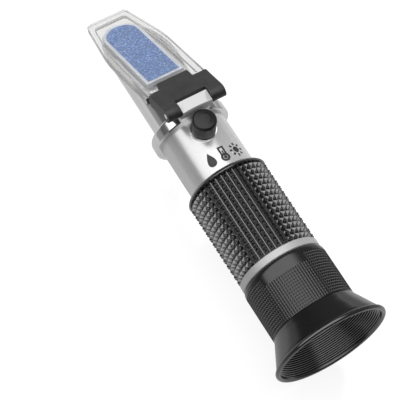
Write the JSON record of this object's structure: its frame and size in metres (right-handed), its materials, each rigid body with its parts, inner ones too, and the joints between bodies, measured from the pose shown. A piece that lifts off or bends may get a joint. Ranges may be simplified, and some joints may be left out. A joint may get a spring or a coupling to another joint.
{
  "type": "handheld refractometer",
  "caption": "Handheld optical refractometer: flared eyecup, focusing ring and ribbed grip on a metal tube, with a hinged clear plate over a sloping prism.",
  "frame": {"origin": "middle of the length and width, at the level of the lowest point of the eyecup rim that the instrument lies on", "axes": "+Y along the optical axis from the eyecup to the prism end, +Z towards the daylight plate and the calibration cap, +X to the right seen from the eyecup"},
  "size_m": [0.0462, 0.166, 0.0475],
  "materials": {
    "satin_metal": "satin brushed",
    "cast_metal": "satin plated",
    "grip_rubber": "moulded pyramid ribs",
    "focus_rubber": "fine waffle knurl",
    "eyecup_rubber": "smooth matte",
    "cap_rubber": "smooth satin",
    "seal_rubber": "matte",
    "pale_seal": "matte",
    "black_plastic": "fine grain",
    "clear_plastic": "clear, polished",
    "prism_glass": "blue, finely sparkling",
    "optical_glass": "polished",
    "bright_steel": "bright",
    "brass": "machined",
    "black_anodised": "matte black"
  },
  "bodies": {
    "root": {"main_tube": "satin_metal", "rubber_grip": "grip_rubber", "rear_ring": "satin_metal", "front_housing": "cast_metal", "housing_o_ring": "seal_rubber", "hinge_pin": "bright_steel", "measuring_prism": "prism_glass", "prism_seal": "pale_seal", "screw_bush": "bright_steel", "screw_retainer": "bright_steel", "carrier_guides": "black_anodised", "field_stop": "black_anodised", "reticle_holder": "black_anodised", "reticle": "optical_glass", "reticle_retainer": "black_anodised"},
    "plate": {"hinge_block": "black_plastic", "daylight_plate": "clear_plastic", "plate_screws": "bright_steel"},
    "cap": {"screw_cap": "cap_rubber"},
    "screw": {"calibration_screw": "brass"},
    "carrier": {"lens_carrier": "black_anodised", "objective_lens": "optical_glass", "objective_clamp_ring": "black_anodised", "bimetal_strip": "brass", "compensator_holder": "black_anodised", "compensator_prism": "optical_glass"},
    "focus_cell": {"lens_cell": "black_anodised", "eye_lens": "optical_glass", "field_lens": "optical_glass", "lens_spacer": "black_anodised", "lens_retainer": "black_anodised", "guide_key": "bright_steel"},
    "eyepiece": {"focus_ring": "focus_rubber", "cell_retainer": "bright_steel", "eyecup": "eyecup_rubber"}
  },
  "joints": [
    {"name": "plate_hinge", "type": "hinge", "parent": "root", "child": "plate", "pos_m": [0, 0.01691, 0.04487], "axis": [1, 0, 0], "range_deg": [0, 110]},
    {"name": "cap_pull", "type": "slide", "parent": "root", "child": "cap", "axis": [0, 0, 1], "range_m": [0, 0.008]},
    {"name": "screw_turn", "type": "hinge", "parent": "root", "child": "screw", "pos_m": [0, 0.00943, 0.0381], "axis": [0, 0, 1], "range_deg": [-225, 225]},
    {"name": "carrier_lift", "type": "slide", "parent": "root", "child": "carrier", "axis": [0, 0, 1], "range_m": [-0.00025, 0.00025]},
    {"name": "focus_travel", "type": "slide", "parent": "root", "child": "focus_cell", "axis": [0, -1, 0], "range_m": [0, 0.0037]},
    {"name": "focus_turn", "type": "hinge", "parent": "focus_cell", "child": "eyepiece", "pos_m": [0, -0.06297, 0.0231], "axis": [0, 1, 0], "range_deg": [0, 330]}
  ],
  "couplings": [
    {"joint": "screw_turn", "follows": "carrier_lift", "rad_per_m": 15708},
    {"joint": "focus_travel", "follows": "focus_turn", "m_per_rad": 0.00063662}
  ]
}
